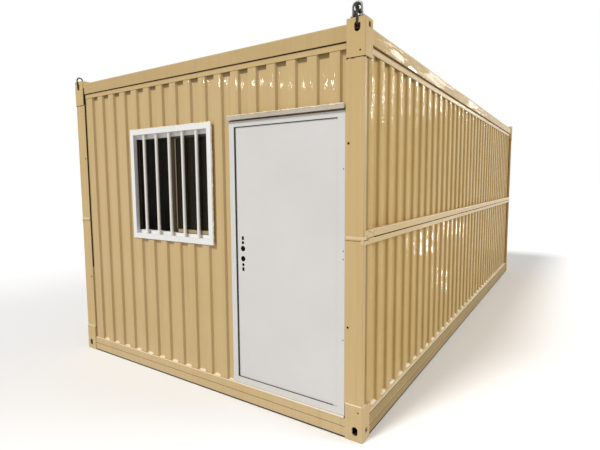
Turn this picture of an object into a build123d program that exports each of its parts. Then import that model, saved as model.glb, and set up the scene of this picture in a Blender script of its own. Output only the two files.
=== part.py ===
from build123d import *

import math
import os

os.makedirs("parts", exist_ok=True)

# Overall size over the corner castings, in millimetres. +X is right seen from the door end,
# +Y runs away from the door end, +Z is up, and the ground is Z = 0.
width = 2900.0
length = 6000.0
height = 2500.0

# Corner castings: hollow boxes with an oval hole in each outer face.
casting_width = 121.0
casting_depth = 104.0
casting_wall = 10.0
casting_edge_radius = 5.0
casting_cut_reach = 15.0
bottom_casting_height = 225.0
top_casting_height = 214.0
hole_inset_x = 52.0
hole_inset_y = 56.0
bottom_hole_rise = 63.0
top_end_hole_drop = 49.0
top_side_hole_drop = 34.0
end_hole_width = 38.0
end_hole_length = 58.0
side_hole_width = 30.0
side_hole_length = 38.0

# Frame rails: distances are measured inwards from the outer casting faces.
rail_wall = 4.0
rail_depth = 80.0
side_rail_inset = 8.0
end_rail_inset = 6.0
base_clearance = 8.0
side_base_rail_top = 142.0
end_base_rail_top = 124.0
groove_height = 70.0
groove_size = 4.0
roof_rail_height = 95.0
roof_rail_drop = 23.0
roof_rail_depth = 60.0
roof_end_rail_radius = 12.0
roof_side_rail_radius = 32.0

# Corner posts, in two halves that meet at the fold line.
fold_height = 1251.5
post_width = 122.0
post_side_inset = 5.0
post_end_inset = 4.0
post_depth = 60.0
post_step_y = 32.0
post_step_x = 40.0
post_wall = 4.0
post_seam_height = 1237.0
post_seam_gap = 3.0
post_lip_height = 20.0
post_lip_proud = 2.5
post_lip_chamfer = 2.0

# Mid rails along the fold line of each side wall.
mid_rail_inset = 2.0
mid_rail_gap = 4.0
lower_mid_rail_height = 35.0
upper_mid_rail_height = 46.0
mid_rail_wall = 3.0
mid_rail_wrap = 22.0
upper_mid_rail_setback = 9.0

# Corrugated steel sheet.
sheet_thickness = 2.0
rib_depth = 20.0
rib_flank = 9.0
side_sheet_inset = 30.0
side_rib_count = 35
side_first_rib = 119.0
side_rib_share = 0.5
end_sheet_inset = 18.0
end_rib_count = 16
end_flange = 100.0
end_last_valley = 44.0
roof_rib_count = 28
roof_sheet_drop = 8.0
roof_edge_flat = 40.0
roof_rib_share = 0.5

# Steel angle that covers the top edge of each wall sheet.
angle_leg = 34.0
angle_wall = 3.0
angle_gap = 6.0
side_angle_leg = 42.0
side_angle_gap = 12.0

# Inner lining, floor and ceiling.
lining_thickness = 35.0
lining_joint = 1.0
floor_thickness = 18.0
joist_count = 6
joist_width = 50.0
joist_height = 80.0
joist_wall = 3.0
ceiling_thickness = 30.0

# Door, hung on its right edge and opening into the cabin.
door_opening_width = 810.0
door_sill_top = 182.0
door_opening_height = 1780.0
door_frame_face = 45.0
door_hinge_face = 52.0
door_frame_inset = 8.0
door_lip = 12.0
door_lip_thickness = 3.0
door_lip_gap = 5.0
door_edge_gap = 6.0
door_thickness = 45.0
hood_height = 30.0
hood_overhang = 5.0
hood_wall = 2.0
hood_reach = 30.0
hood_fall = 5.0

# Holes left for the lock and handle, in a column beside the free edge.
lock_backset = 64.0
lock_centre_height = 1085.0
large_hole_offset = 36.0
small_hole_offset = 78.0
slot_offset = 110.0
large_hole_radius = 13.0
small_hole_radius = 6.0
slot_width = 9.0
slot_length = 26.0

# Butt hinges on the inner face of the door.
hinge_count = 3
hinge_end_margin = 220.0
hinge_length = 120.0
knuckle_radius = 8.0
pin_radius = 5.0
pin_clearance = 0.08
hinge_plate = 3.0
hinge_plate_width = 34.0
hinge_plate_setback = 1.0
knuckle_standoff = 9.0
knuckle_gap = 1.0

# Window: a deep white box frame with a sliding pair of glazed sashes near its inner edge. The
# inner sash stands slid open behind the outer one, so the left half of the window is open.
window_pier = 180.0
window_bottom = 1122.0
window_width = 925.0
window_height = 894.0
window_face = 42.0
window_inset = 10.0
window_flange_overlap = 20.0
window_depth = 72.0
track_wall = 1.5
track_web = 2.5
sill_track_height = 24.0
head_track_height = 32.0
outer_sash_width = 404.5
inner_sash_width = 453.5
sash_stile = 34.0
sash_bottom_rail = 55.0
sash_top_rail = 46.0
sash_thickness = 14.0
sash_gap = 2.0
sash_clearance = 0.3
glass_thickness = 5.0

# Lifting tackle in the front top castings.
link_rod_radius = 6.0
link_inner_radius = 20.0
link_straight = 28.0
link_seat = 2.0
shackle_rod_radius = 6.5
shackle_inner_radius = 21.0
shackle_leg = 50.0
shackle_shift = 8.0
shackle_pin_radius = 5.5
shackle_eye_radius = 10.0
shackle_eye_thickness = 14.0
shackle_pin_overhang = 8.0
tackle_clearance = 0.3

half_width = width / 2
half_length = length / 2
roof_rail_top = height - roof_rail_drop
roof_rail_bottom = roof_rail_top - roof_rail_height


def export(shape, name):
    """Write one named piece of the cabin."""
    export_step(shape, f"parts/{name}.step")


def block(low, high):
    """Box between two corner points."""
    size = [b - a for a, b in zip(low, high)]
    return Pos(*low) * Box(*size, align=(Align.MIN, Align.MIN, Align.MIN))


def plan_prism(points, bottom, top):
    """Vertical prism over a closed outline drawn in plan."""
    return Pos(0, 0, bottom) * extrude(make_face(Polyline(*points, close=True)), amount=top - bottom)


def mirror_x(shape):
    """The same piece on the opposite long side."""
    return mirror(shape, about=Plane.YZ)


def mirror_y(shape):
    """The same piece at the opposite end."""
    return mirror(shape, about=Plane.XZ)


def from_left(x):
    """X of a distance measured from the left casting face."""
    return x - half_width


def from_front(y):
    """Y of a distance measured from the front casting face."""
    return y - half_length


# ---- corner castings -------------------------------------------------------------------

def oval_cutter(along, centre, oval_length, oval_width):
    """Oval cutter through a casting wall: upright in an outer side, or along X in a top or bottom."""
    oval = SlotOverall(oval_length, oval_width, rotation=0 if along == "z" else 90)
    turn = {"x": Rot(90, 0, 90), "y": Rot(90, 0, 0), "z": Rot(0, 0, 0)}[along]
    return Pos(*centre) * turn * extrude(oval, amount=casting_cut_reach, both=True)


def casting(casting_height, at_top):
    """Front right corner casting: hollow, with ovals to the front, the side and the end."""
    bottom = height - casting_height if at_top else 0.0
    low = (half_width - casting_width, from_front(0), bottom)
    high = (half_width, from_front(casting_depth), bottom + casting_height)
    body = block(low, high)
    body = fillet(body.edges().filter_by(Axis.Z), casting_edge_radius)
    body -= block([a + casting_wall for a in low], [b - casting_wall for b in high])
    hole_x = half_width - hole_inset_x
    hole_y = from_front(hole_inset_y)
    end_hole_z = height - top_end_hole_drop if at_top else bottom_hole_rise
    side_hole_z = height - top_side_hole_drop if at_top else bottom_hole_rise
    outer_z = height if at_top else 0.0
    body -= oval_cutter("y", (hole_x, from_front(0), end_hole_z), end_hole_length, end_hole_width)
    body -= oval_cutter("x", (half_width, hole_y, side_hole_z), side_hole_length, side_hole_width)
    body -= oval_cutter("z", (hole_x, hole_y, outer_z), end_hole_length, end_hole_width)
    return body


def casting_corners():
    """Solid blocks the size of the eight castings, to notch the sheets and panels round them."""
    corners = []
    for sign_x in (1, -1):
        for sign_y in (1, -1):
            for bottom, top in ((0, bottom_casting_height), (height - top_casting_height, height)):
                x = sorted((sign_x * half_width, sign_x * (half_width - casting_width)))
                y = sorted((sign_y * half_length, sign_y * (half_length - casting_depth)))
                corners.append(block((x[0], y[0], bottom), (x[1], y[1], top)))
    return corners


for end, end_name in ((1, "front"), (-1, "rear")):
    for level, piece in (("bottom", casting(bottom_casting_height, False)),
                         ("top", casting(top_casting_height, True))):
        placed = piece if end == 1 else mirror_y(piece)
        export(placed, f"{level}_casting_{end_name}_right")
        export(mirror_x(placed), f"{level}_casting_{end_name}_left")


# ---- base and roof rails ---------------------------------------------------------------

def channel_points(depth, bottom, top, wall):
    """Channel section open at the back, its web at zero depth, with a groove along the web."""
    groove_top = groove_height + groove_size / 2
    groove_bottom = groove_height - groove_size / 2
    return [
        (0, bottom), (depth, bottom), (depth, bottom + wall), (wall + groove_size, bottom + wall),
        (wall + groove_size, top - wall), (depth, top - wall), (depth, top), (0, top),
        (0, groove_top), (groove_size, groove_height), (0, groove_bottom),
    ]


def along_y(points, run):
    """Extrude a section along Y, its depth measured from the right casting face."""
    section = [(half_width - depth, -run / 2, z) for depth, z in points]
    return extrude(make_face(Polyline(*section, close=True)), amount=run, dir=(0, 1, 0))


def along_x(points, run):
    """Extrude a section along X, its depth measured from the front casting face."""
    section = [(-run / 2, from_front(depth), z) for depth, z in points]
    return extrude(make_face(Polyline(*section, close=True)), amount=run, dir=(1, 0, 0))


def shifted(points, inset):
    """Move a section inwards."""
    return [(depth + inset, z) for depth, z in points]


side_rail_run = length - 2 * casting_depth
end_rail_run = width - 2 * casting_width
side_channel = channel_points(rail_depth, base_clearance, side_base_rail_top, rail_wall)
end_channel = channel_points(rail_depth, base_clearance, end_base_rail_top, rail_wall)
base_side_rail = along_y(shifted(side_channel, side_rail_inset), side_rail_run)
base_end_rail = along_x(shifted(end_channel, end_rail_inset), end_rail_run)
export(base_side_rail, "base_right_rail")
export(mirror_x(base_side_rail), "base_left_rail")
export(base_end_rail, "base_front_rail")
export(mirror_y(base_end_rail), "base_rear_rail")


def roof_tube(run, radius):
    """Closed roof rail, seen along its run, with a rounded upper outer edge."""
    outer = Rectangle(roof_rail_depth, roof_rail_height, align=(Align.MIN, Align.MIN))
    corner = outer.vertices().group_by(Axis.Y)[-1].sort_by(Axis.X)[0]
    outer = fillet(corner, radius)
    inner = Pos(rail_wall, rail_wall) * Rectangle(
        roof_rail_depth - 2 * rail_wall, roof_rail_height - 2 * rail_wall, align=(Align.MIN, Align.MIN))
    corner = inner.vertices().group_by(Axis.Y)[-1].sort_by(Axis.X)[0]
    inner = fillet(corner, radius - rail_wall)
    return extrude(outer - inner, amount=run / 2, both=True)


end_tube = Plane((0, from_front(end_rail_inset), roof_rail_bottom), x_dir=(0, 1, 0), z_dir=(1, 0, 0))
side_tube = Plane((half_width - side_rail_inset, 0, roof_rail_bottom), x_dir=(-1, 0, 0), z_dir=(0, 1, 0))
roof_end_rail = end_tube * roof_tube(end_rail_run, roof_end_rail_radius)
roof_side_rail = side_tube * roof_tube(side_rail_run, roof_side_rail_radius)
export(roof_side_rail, "roof_right_rail")
export(mirror_x(roof_side_rail), "roof_left_rail")
export(roof_end_rail, "roof_front_rail")
export(mirror_y(roof_end_rail), "roof_rear_rail")


# ---- corner posts ----------------------------------------------------------------------

def post_outline(grow):
    """Stepped post outline in plan for the front right corner, grown or shrunk all round."""
    outer_x = half_width - post_side_inset + grow
    inner_x = half_width - post_side_inset - post_width - grow
    step_x = half_width - post_side_inset - post_step_x + grow
    front_y = from_front(post_end_inset) - grow
    step_y = from_front(post_end_inset + post_step_y) + grow
    back_y = from_front(post_end_inset + post_depth) + grow
    return [(inner_x, front_y), (outer_x, front_y), (outer_x, step_y), (step_x, step_y),
            (step_x, back_y), (inner_x, back_y)]


def post_half(bottom, top):
    """One hollow half of a corner post."""
    return plan_prism(post_outline(0), bottom, top) - plan_prism(post_outline(-post_wall), bottom, top)


upper_post_bottom = post_seam_height + post_seam_gap / 2
lower_post_top = post_seam_height - post_seam_gap / 2
lower_post = post_half(bottom_casting_height, lower_post_top)
upper_post = post_half(upper_post_bottom, height - top_casting_height)
lip_outer_x = half_width - mid_rail_inset - mid_rail_wrap - post_seam_gap
lip_front_y = from_front(post_end_inset - post_lip_proud)
lip = block(
    (half_width - post_side_inset - post_width, lip_front_y, upper_post_bottom),
    (lip_outer_x, from_front(post_end_inset), upper_post_bottom + post_lip_height))
lip = chamfer(lip.edges().filter_by(Axis.X).group_by(Axis.Y)[0].sort_by(Axis.Z)[-1], post_lip_chamfer)
upper_post += lip
front_right_posts = Compound([lower_post, upper_post])
export(front_right_posts, "post_front_right")
export(mirror_x(front_right_posts), "post_front_left")
export(mirror_y(front_right_posts), "post_rear_right")
export(mirror_y(mirror_x(front_right_posts)), "post_rear_left")


# ---- mid rails at the fold -------------------------------------------------------------

post_back = post_end_inset + post_depth
side_sheet_back = side_sheet_inset + rib_depth + sheet_thickness


def mid_rail(bottom, top):
    """Channel along the side wall between the posts, open towards the cabin."""
    depth = side_sheet_back
    wall = mid_rail_wall
    outer = mid_rail_inset
    points = [(outer, bottom), (depth, bottom), (depth, bottom + wall), (outer + wall, bottom + wall),
              (outer + wall, top - wall), (depth, top - wall), (depth, top), (outer, top)]
    return along_y(points, length - 2 * post_back)


def mid_rail_strap(front, bottom, top):
    """Flat strap that runs the outer face of a mid rail on past the side of each post."""
    strap = block(
        (half_width - post_side_inset, from_front(front), bottom),
        (half_width - mid_rail_inset, from_front(post_back), top))
    return strap + mirror_y(strap)


lower_mid_top = fold_height - mid_rail_gap / 2
lower_mid_bottom = lower_mid_top - lower_mid_rail_height
upper_mid_bottom = lower_mid_top + mid_rail_gap
upper_mid_top = upper_mid_bottom + upper_mid_rail_height
wrap_front = post_end_inset - post_lip_proud
wrap = block(
    (half_width - mid_rail_inset - mid_rail_wrap, from_front(wrap_front), lower_mid_bottom),
    (half_width - mid_rail_inset, from_front(post_end_inset), lower_mid_top))
wrap = fillet(wrap.edges().filter_by(Axis.Y).group_by(Axis.X)[0].sort_by(Axis.Z)[-1], mid_rail_wrap / 2)
lower_rail = mid_rail(lower_mid_bottom, lower_mid_top)
lower_rail += mid_rail_strap(wrap_front, lower_mid_bottom, lower_mid_top)
lower_rail += wrap
lower_rail += mirror_y(wrap)
upper_rail = mid_rail(upper_mid_bottom, upper_mid_top)
upper_rail += mid_rail_strap(upper_mid_rail_setback, upper_mid_bottom, upper_mid_top)
right_mid_rails = Compound([lower_rail, upper_rail])
export(right_mid_rails, "mid_rails_right")
export(mirror_x(right_mid_rails), "mid_rails_left")


# ---- corrugated sheets -----------------------------------------------------------------

def corrugated(start, stop, first, pitch, count, raised, starts_raised):
    """Closed outline of a trapezoidal sheet: distance along it against depth from its crests."""
    bend = math.atan2(rib_depth, rib_flank)
    mitre = sheet_thickness * math.tan(bend / 2)
    face = [(start, 0.0, 0.0)] if starts_raised else [(start, rib_depth, 0.0)]
    for index in range(count):
        rise = first + index * pitch
        if index > 0 or not starts_raised:
            face.append((rise - rib_flank, rib_depth, mitre))
            face.append((rise, 0.0, mitre))
        face.append((rise + raised, 0.0, -mitre))
        face.append((rise + raised + rib_flank, rib_depth, -mitre))
    face.append((stop, rib_depth, 0.0))
    outside = [(s, t) for s, t, _ in face]
    inside = [(s + shift, t + sheet_thickness) for s, t, shift in reversed(face)]
    return outside + inside


side_pitch = (length - 2 * side_first_rib + rib_flank) / (side_rib_count - 1 + side_rib_share)
side_raised = side_pitch * side_rib_share - rib_flank
side_profile = corrugated(
    post_back, length - post_back, side_first_rib, side_pitch, side_rib_count, side_raised, False)
casting_blocks = casting_corners()
side_outline = [(half_width - side_sheet_inset - depth, from_front(s)) for s, depth in side_profile]
side_sheet_top = roof_rail_bottom - side_angle_gap - angle_wall
right_wall_lower = plan_prism(side_outline, side_base_rail_top, lower_mid_bottom) - casting_blocks
right_wall_upper = plan_prism(side_outline, upper_mid_top, side_sheet_top) - casting_blocks
export(right_wall_lower, "right_wall_lower")
export(right_wall_upper, "right_wall_upper")
export(mirror_x(right_wall_lower), "left_wall_lower")
export(mirror_x(right_wall_upper), "left_wall_upper")

end_wall_left = post_side_inset + post_width
end_wall_right = width - end_wall_left
end_pitch = (end_wall_right - end_wall_left - end_flange - end_last_valley) / end_rib_count
end_raised = end_pitch / 2 - rib_flank
end_first_rib = end_wall_left + end_flange - end_raised
end_profile = corrugated(
    end_wall_left, end_wall_right, end_first_rib, end_pitch, end_rib_count + 1, end_raised, True)
end_outline = [(from_left(s), from_front(end_sheet_inset + depth)) for s, depth in end_profile]
end_sheet_top = roof_rail_bottom - angle_gap - angle_wall
end_sheet = plan_prism(end_outline, end_base_rail_top, end_sheet_top)
export(mirror_y(end_sheet), "rear_wall")

door_frame_right = end_wall_right
door_opening_right = door_frame_right - door_hinge_face
door_opening_left = door_opening_right - door_opening_width
door_frame_left = door_opening_left - door_frame_face
door_frame_bottom = door_sill_top - door_frame_face
door_frame_top = door_sill_top + door_opening_height + door_frame_face
window_right = door_frame_left - window_pier
window_left = window_right - window_width
window_top = window_bottom + window_height
hole_left = window_left + window_flange_overlap
hole_right = window_right - window_flange_overlap
hole_bottom = window_bottom + window_flange_overlap
hole_top = window_top - window_flange_overlap


def wall_panels(top, joint):
    """The five pieces of the front wall round its two openings, each as left, bottom, right, top."""
    return {
        "left": (end_wall_left, end_base_rail_top, hole_left - joint, top),
        "under_window": (hole_left, end_base_rail_top, hole_right, hole_bottom),
        "over_window": (hole_left, hole_top, hole_right, top),
        "pier": (hole_right + joint, end_base_rail_top, door_frame_left, top),
        "over_door": (door_frame_left + joint, door_frame_top, end_wall_right, top),
    }


for panel_name, (x0, z0, x1, z1) in wall_panels(end_sheet_top, 0).items():
    panel_block = block((from_left(x0), -half_length, z0), (from_left(x1), 0, z1))
    export(end_sheet & panel_block, f"front_wall_{panel_name}")


# ---- angles over the sheets ------------------------------------------------------------

def angle_points(inset, back, leg, top):
    """Angle with its long leg hanging in front of the crests and its short leg over the sheet."""
    front = inset - angle_wall
    return [(front, top - leg), (inset, top - leg), (inset, top - angle_wall),
            (back, top - angle_wall), (back, top), (front, top)]


side_angle = along_y(
    angle_points(side_sheet_inset, side_sheet_back, side_angle_leg, roof_rail_bottom - side_angle_gap),
    length - 2 * casting_depth)
end_sheet_back = end_sheet_inset + rib_depth + sheet_thickness
end_angle = along_x(
    angle_points(end_sheet_inset, end_sheet_back, angle_leg, roof_rail_bottom - angle_gap),
    end_wall_right - end_wall_left)
export(Compound([side_angle, mirror_x(side_angle), end_angle, mirror_y(end_angle)]), "wall_top_angles")


# ---- floor, linings, ceiling and roof --------------------------------------------------

lining_face_side = side_sheet_back + lining_thickness
lining_face_end = end_sheet_back + lining_thickness
floor_bottom = side_base_rail_top - floor_thickness
rail_back = side_rail_inset + rail_depth
floor_panel = block(
    (rail_back - half_width, from_front(lining_face_end), floor_bottom),
    (half_width - rail_back, -from_front(lining_face_end), side_base_rail_top))
export(floor_panel - casting_blocks, "floor_panel")

joist_reach = half_width - side_rail_inset - rail_wall - groove_size
end_rail_back = end_rail_inset + rail_depth
joist_span = length - 2 * end_rail_back
joists = []
for index in range(joist_count):
    centre = from_front(end_rail_back) + joist_span * (index + 0.5) / joist_count
    tube = Rectangle(joist_width, joist_height) - Rectangle(
        joist_width - 2 * joist_wall, joist_height - 2 * joist_wall)
    face = Plane((0, centre, floor_bottom - joist_height / 2), x_dir=(0, 1, 0), z_dir=(1, 0, 0))
    joists.append(face * extrude(tube, amount=joist_reach, both=True))
export(Compound(joists), "floor_joists")

side_lining = block(
    (half_width - lining_face_side, from_front(post_back), side_base_rail_top),
    (half_width - side_sheet_back, -from_front(post_back), roof_rail_bottom))
side_lining -= casting_blocks
export(Compound([side_lining, mirror_x(side_lining)]), "side_linings")

linings = [mirror_y(block(
    (from_left(end_wall_left), from_front(end_sheet_back), end_base_rail_top),
    (from_left(end_wall_right), from_front(lining_face_end), roof_rail_bottom)))]
for x0, z0, x1, z1 in wall_panels(roof_rail_bottom, lining_joint).values():
    linings.append(block(
        (from_left(x0), from_front(end_sheet_back), z0),
        (from_left(x1), from_front(lining_face_end), z1)))
export(Compound(linings), "end_linings")

roof_side_back = side_rail_inset + roof_rail_depth
roof_end_back = end_rail_inset + roof_rail_depth
ceiling = block(
    (roof_side_back - half_width, from_front(roof_end_back), roof_rail_bottom),
    (half_width - roof_side_back, -from_front(roof_end_back), roof_rail_bottom + ceiling_thickness))
export(ceiling - casting_blocks, "ceiling_panel")

roof_pitch = (length - 2 * roof_end_back - 2 * roof_edge_flat) / roof_rib_count
roof_raised = roof_pitch * roof_rib_share
roof_first_rib = roof_end_back + roof_edge_flat + (roof_pitch - roof_raised) / 2
roof_profile = corrugated(
    roof_end_back, length - roof_end_back, roof_first_rib, roof_pitch, roof_rib_count, roof_raised, False)
roof_crest = roof_rail_top - roof_sheet_drop
roof_half_span = half_width - roof_side_back
roof_points = [(-roof_half_span, from_front(s), roof_crest - depth) for s, depth in roof_profile]
roof_sheet = extrude(
    make_face(Polyline(*roof_points, close=True)), amount=2 * roof_half_span, dir=(1, 0, 0))
export(roof_sheet - casting_blocks, "roof_sheet")


# ---- door ------------------------------------------------------------------------------

door_opening_top = door_sill_top + door_opening_height
door_face = door_frame_inset + door_lip_thickness + door_lip_gap
door_back = door_face + door_thickness
leaf_left = door_opening_left - door_lip + door_edge_gap
leaf_right = door_opening_right + door_lip - door_edge_gap
leaf_bottom = door_sill_top - door_lip + door_edge_gap
leaf_top = door_opening_top + door_lip - door_edge_gap

door_frame = block(
    (from_left(door_frame_left), from_front(door_frame_inset), door_frame_bottom),
    (from_left(door_frame_right), from_front(door_back), door_frame_top))
door_frame -= block(
    (from_left(door_opening_left), from_front(0), door_sill_top),
    (from_left(door_opening_right), 0, door_opening_top))
door_frame -= block(
    (from_left(door_opening_left - door_lip), from_front(door_frame_inset + door_lip_thickness),
     door_sill_top - door_lip),
    (from_left(door_opening_right + door_lip), 0, door_opening_top + door_lip))
export(door_frame, "door_frame")

door_leaf = block(
    (from_left(leaf_left), from_front(door_face), leaf_bottom),
    (from_left(leaf_right), from_front(door_back), leaf_top))
lock_x = from_left(leaf_left + lock_backset)
for side in (1, -1):
    for offset, radius in ((large_hole_offset, large_hole_radius), (small_hole_offset, small_hole_radius)):
        hole = Plane((lock_x, from_front(door_face), lock_centre_height + side * offset),
                     x_dir=(1, 0, 0), z_dir=(0, 1, 0))
        door_leaf -= hole * extrude(Circle(radius), amount=door_thickness)
    hole = Plane((lock_x, from_front(door_face), lock_centre_height + side * slot_offset),
                 x_dir=(1, 0, 0), z_dir=(0, 1, 0))
    door_leaf -= hole * extrude(SlotOverall(slot_length, slot_width, rotation=90), amount=door_thickness)
export(door_leaf, "door_leaf")

hinge_x = from_left((leaf_right + door_opening_right + door_lip) / 2)
hinge_y = from_front(door_back + knuckle_standoff)
hinge_span = leaf_top - leaf_bottom - 2 * hinge_end_margin
pins = []
knuckles = []
for index in range(hinge_count):
    middle = leaf_bottom + hinge_end_margin + hinge_span * index / (hinge_count - 1)
    half = hinge_length / 2
    knuckle = extrude(Circle(knuckle_radius), amount=half - knuckle_gap / 2)
    lower = Pos(hinge_x, hinge_y, middle - half) * knuckle
    pin = Pos(hinge_x, hinge_y, middle - half) * extrude(Circle(pin_radius), amount=hinge_length)
    plate = block(
        (hinge_x, from_front(door_back), middle - half),
        (hinge_x + hinge_plate_width, from_front(door_back) + hinge_plate, middle - knuckle_gap / 2))
    plate -= block(
        (hinge_x, from_front(door_back), middle - half),
        (from_left(door_opening_right + door_lip) + hinge_plate_setback,
         from_front(door_back) + hinge_plate, middle))
    pins.append(lower + pin + plate)
    upper = Pos(hinge_x, hinge_y, middle + knuckle_gap / 2) * knuckle
    leaf_plate = block(
        (hinge_x - hinge_plate_width, from_front(door_back), middle + knuckle_gap / 2),
        (from_left(leaf_right) - hinge_plate_setback, from_front(door_back) + hinge_plate, middle + half))
    bore = Pos(hinge_x, hinge_y, middle) * extrude(Circle(pin_radius + pin_clearance), amount=hinge_length)
    knuckles.append(upper + leaf_plate - bore)
export(Compound(pins), "door_hinge_pins")
export(Compound(knuckles), "door_hinge_knuckles")

hood_front = end_sheet_inset - hood_reach
hood_top = door_frame_top + hood_height
hood_points = [
    (end_sheet_inset, hood_top), (end_sheet_inset, hood_top - hood_wall),
    (hood_front + hood_wall, hood_top - hood_fall - hood_wall),
    (hood_front + hood_wall, door_frame_top), (hood_front, door_frame_top),
    (hood_front, hood_top - hood_fall)]
hood_left = from_left(door_frame_left - hood_overhang)
hood_section = [(hood_left, from_front(depth), z) for depth, z in hood_points]
hood = extrude(
    make_face(Polyline(*hood_section, close=True)),
    amount=from_left(door_frame_right) - hood_left, dir=(1, 0, 0))
export(hood, "door_hood")


# ---- window ----------------------------------------------------------------------------

def window_ring(grow, front, back):
    """Rectangular block round the window's clear opening, grown by a margin on every edge."""
    return block(
        (from_left(window_left + window_face - grow), from_front(front), window_bottom + window_face - grow),
        (from_left(window_right - window_face + grow), from_front(back), window_top - window_face + grow))


window_back = window_inset + window_depth
window_frame = window_ring(window_face, window_inset, end_sheet_inset)
window_frame += window_ring(window_face - window_flange_overlap, end_sheet_inset, window_back)
window_frame -= window_ring(0, window_inset, window_back)
export(window_frame, "window_frame")

clear_left = window_left + window_face
clear_right = window_right - window_face
clear_bottom = window_bottom + window_face
clear_top = window_top - window_face
track_pitch = sash_thickness + sash_gap
track_front = window_back - sash_gap / 2 - 2 * track_pitch - track_wall / 2
track_back = window_back - sash_gap / 2 + track_wall / 2


def sliding_track(bottom, top, web_bottom):
    """Track across the window: a web on the frame and three upright lips that hold two sashes."""
    track = block(
        (from_left(clear_left), from_front(track_front), web_bottom),
        (from_left(clear_right), from_front(track_back), web_bottom + track_web))
    for place in range(3):
        lip_back = track_back - place * track_pitch
        track += block(
            (from_left(clear_left), from_front(lip_back - track_wall), bottom),
            (from_left(clear_right), from_front(lip_back), top))
    return track


sill_track = sliding_track(clear_bottom, clear_bottom + sill_track_height, clear_bottom)
head_track = sliding_track(clear_top - head_track_height, clear_top, clear_top - track_web)
export(Compound([sill_track, head_track]), "window_tracks")

sash_right = clear_right - sash_clearance
sash_bottom = clear_bottom + track_web + sash_clearance
sash_top = clear_top - track_web - sash_clearance
sashes = []
panes = []
for width_across, back in (
        (inner_sash_width, window_back - sash_gap),
        (outer_sash_width, window_back - sash_gap - track_pitch)):
    sash_left = sash_right - width_across
    front = back - sash_thickness
    middle = back - sash_thickness / 2
    glass_left = sash_left + sash_stile
    glass_right = sash_right - sash_stile
    glass_bottom = sash_bottom + sash_bottom_rail
    glass_top = sash_top - sash_top_rail
    sash = block(
        (from_left(sash_left), from_front(front), sash_bottom),
        (from_left(sash_right), from_front(back), sash_top))
    sashes.append(sash - block(
        (from_left(glass_left), from_front(front), glass_bottom),
        (from_left(glass_right), from_front(back), glass_top)))
    panes.append(block(
        (from_left(glass_left), from_front(middle - glass_thickness / 2), glass_bottom),
        (from_left(glass_right), from_front(middle + glass_thickness / 2), glass_top)))
export(Compound(sashes), "window_sashes")
export(Compound(panes), "window_glass")


# ---- lifting tackle --------------------------------------------------------------------

link_x = half_width - hole_inset_x
link_y = from_front(link_inner_radius - tackle_clearance)
link_low_z = height - top_end_hole_drop + end_hole_length / 2 + link_seat
link_mean_radius = link_inner_radius + link_rod_radius
link_path = Plane((link_x, link_y, link_low_z + link_straight / 2), x_dir=(0, 1, 0), z_dir=(1, 0, 0)) * (
    SlotCenterToCenter(link_straight, 2 * link_mean_radius, rotation=90).wire())
link_start = Plane(link_path @ 0, z_dir=link_path % 0)
right_link = sweep(link_start * Circle(link_rod_radius), path=link_path)
export(Compound([right_link, mirror_x(right_link)]), "lifting_links")

shackle_x = link_x - shackle_shift
eye_z = height + tackle_clearance + shackle_eye_radius
bow_radius = shackle_inner_radius + shackle_rod_radius
bow_top = eye_z + shackle_leg
bow_path = Wire([
    Line((shackle_x - bow_radius, link_y, eye_z), (shackle_x - bow_radius, link_y, bow_top)),
    ThreePointArc((shackle_x - bow_radius, link_y, bow_top), (shackle_x, link_y, bow_top + bow_radius),
                  (shackle_x + bow_radius, link_y, bow_top)),
    Line((shackle_x + bow_radius, link_y, bow_top), (shackle_x + bow_radius, link_y, eye_z)),
])
bow_start = Plane(bow_path @ 0, z_dir=bow_path % 0)
shackle = sweep(bow_start * Circle(shackle_rod_radius), path=bow_path)
pin_reach = bow_radius + shackle_eye_thickness / 2 + shackle_pin_overhang
across = Plane((shackle_x, link_y, eye_z), x_dir=(0, 1, 0), z_dir=(1, 0, 0))
shackle += across * extrude(Circle(shackle_pin_radius), amount=pin_reach, both=True)
for side in (1, -1):
    eye = Plane((shackle_x + side * bow_radius, link_y, eye_z), x_dir=(0, 1, 0), z_dir=(1, 0, 0))
    shackle += eye * extrude(Circle(shackle_eye_radius), amount=shackle_eye_thickness / 2, both=True)
export(shackle, "lifting_shackle")
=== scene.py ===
import bmesh
import bpy
import math
import random
from mathutils import Matrix, Vector, noise


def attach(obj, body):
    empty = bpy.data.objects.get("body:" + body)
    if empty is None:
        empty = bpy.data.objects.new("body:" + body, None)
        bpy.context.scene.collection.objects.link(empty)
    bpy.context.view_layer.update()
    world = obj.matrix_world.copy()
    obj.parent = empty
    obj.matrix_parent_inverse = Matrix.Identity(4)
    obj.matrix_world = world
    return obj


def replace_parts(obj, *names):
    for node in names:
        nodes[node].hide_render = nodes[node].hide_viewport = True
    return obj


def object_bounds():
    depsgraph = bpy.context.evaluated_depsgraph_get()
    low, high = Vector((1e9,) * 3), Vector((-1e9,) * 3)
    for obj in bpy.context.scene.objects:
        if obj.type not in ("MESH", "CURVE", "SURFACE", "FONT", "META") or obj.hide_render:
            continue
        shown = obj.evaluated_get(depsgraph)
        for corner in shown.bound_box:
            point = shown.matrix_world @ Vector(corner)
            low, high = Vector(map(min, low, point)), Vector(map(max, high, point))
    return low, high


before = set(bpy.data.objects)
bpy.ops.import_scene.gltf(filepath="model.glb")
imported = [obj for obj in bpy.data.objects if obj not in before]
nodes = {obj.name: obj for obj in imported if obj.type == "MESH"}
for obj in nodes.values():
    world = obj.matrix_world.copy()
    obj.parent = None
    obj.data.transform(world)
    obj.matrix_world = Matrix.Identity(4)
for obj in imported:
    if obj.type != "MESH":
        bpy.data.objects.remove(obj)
cad_box = [list(corner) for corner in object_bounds()]
scene = bpy.context.scene


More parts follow.
